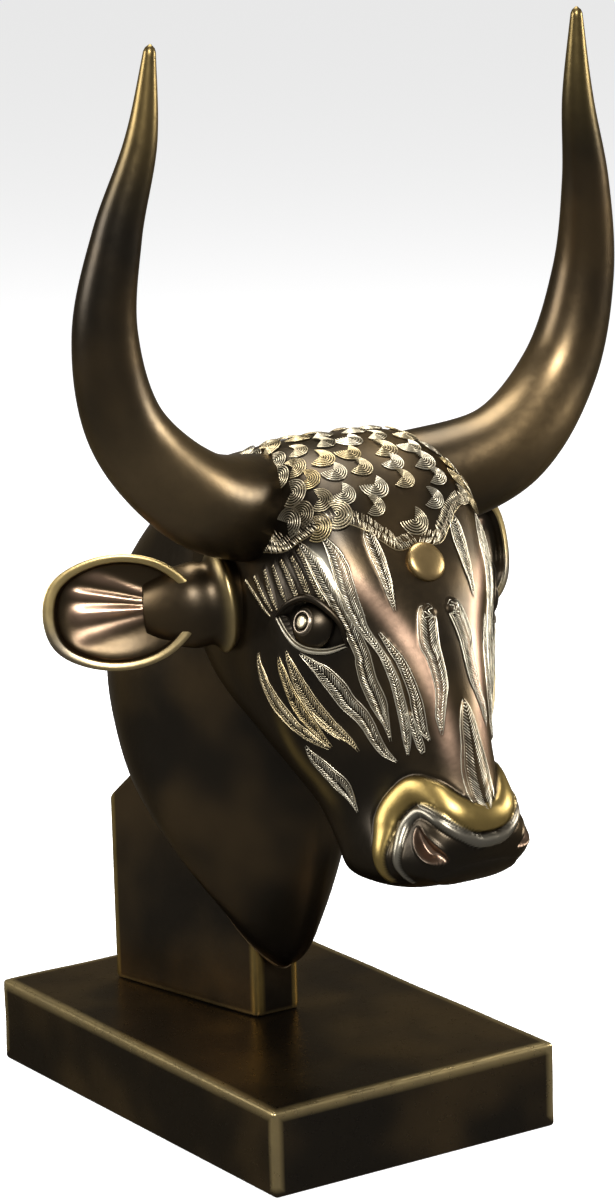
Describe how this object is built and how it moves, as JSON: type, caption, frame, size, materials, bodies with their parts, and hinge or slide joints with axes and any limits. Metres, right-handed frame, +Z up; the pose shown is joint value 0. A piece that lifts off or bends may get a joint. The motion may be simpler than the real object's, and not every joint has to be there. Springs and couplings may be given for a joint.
{
  "type": "bull head bust",
  "caption": "Bull's head bust with tall lyre horns, cupped ears and a curled poll, on a wedge under the neck and a flat rectangular plinth, in a dark gilt bronze finish.",
  "frame": {"origin": "middle of the plinth's underside", "axes": "+Z up, -Y the way the muzzle points, +X towards the bull's left horn"},
  "size_m": [0.1924, 0.2072, 0.3494],
  "materials": {
    "bronze_finish": "cold-cast resin with a near-black bronze finish, rubbed gilt and copper on the raised parts",
    "dark_base": "the same dark bronze finish, satin, with gilt worn along its edges"
  },
  "bodies": {
    "root": {"plinth": "dark_base", "bull_bust": "bronze_finish"}
  },
  "joints": []
}
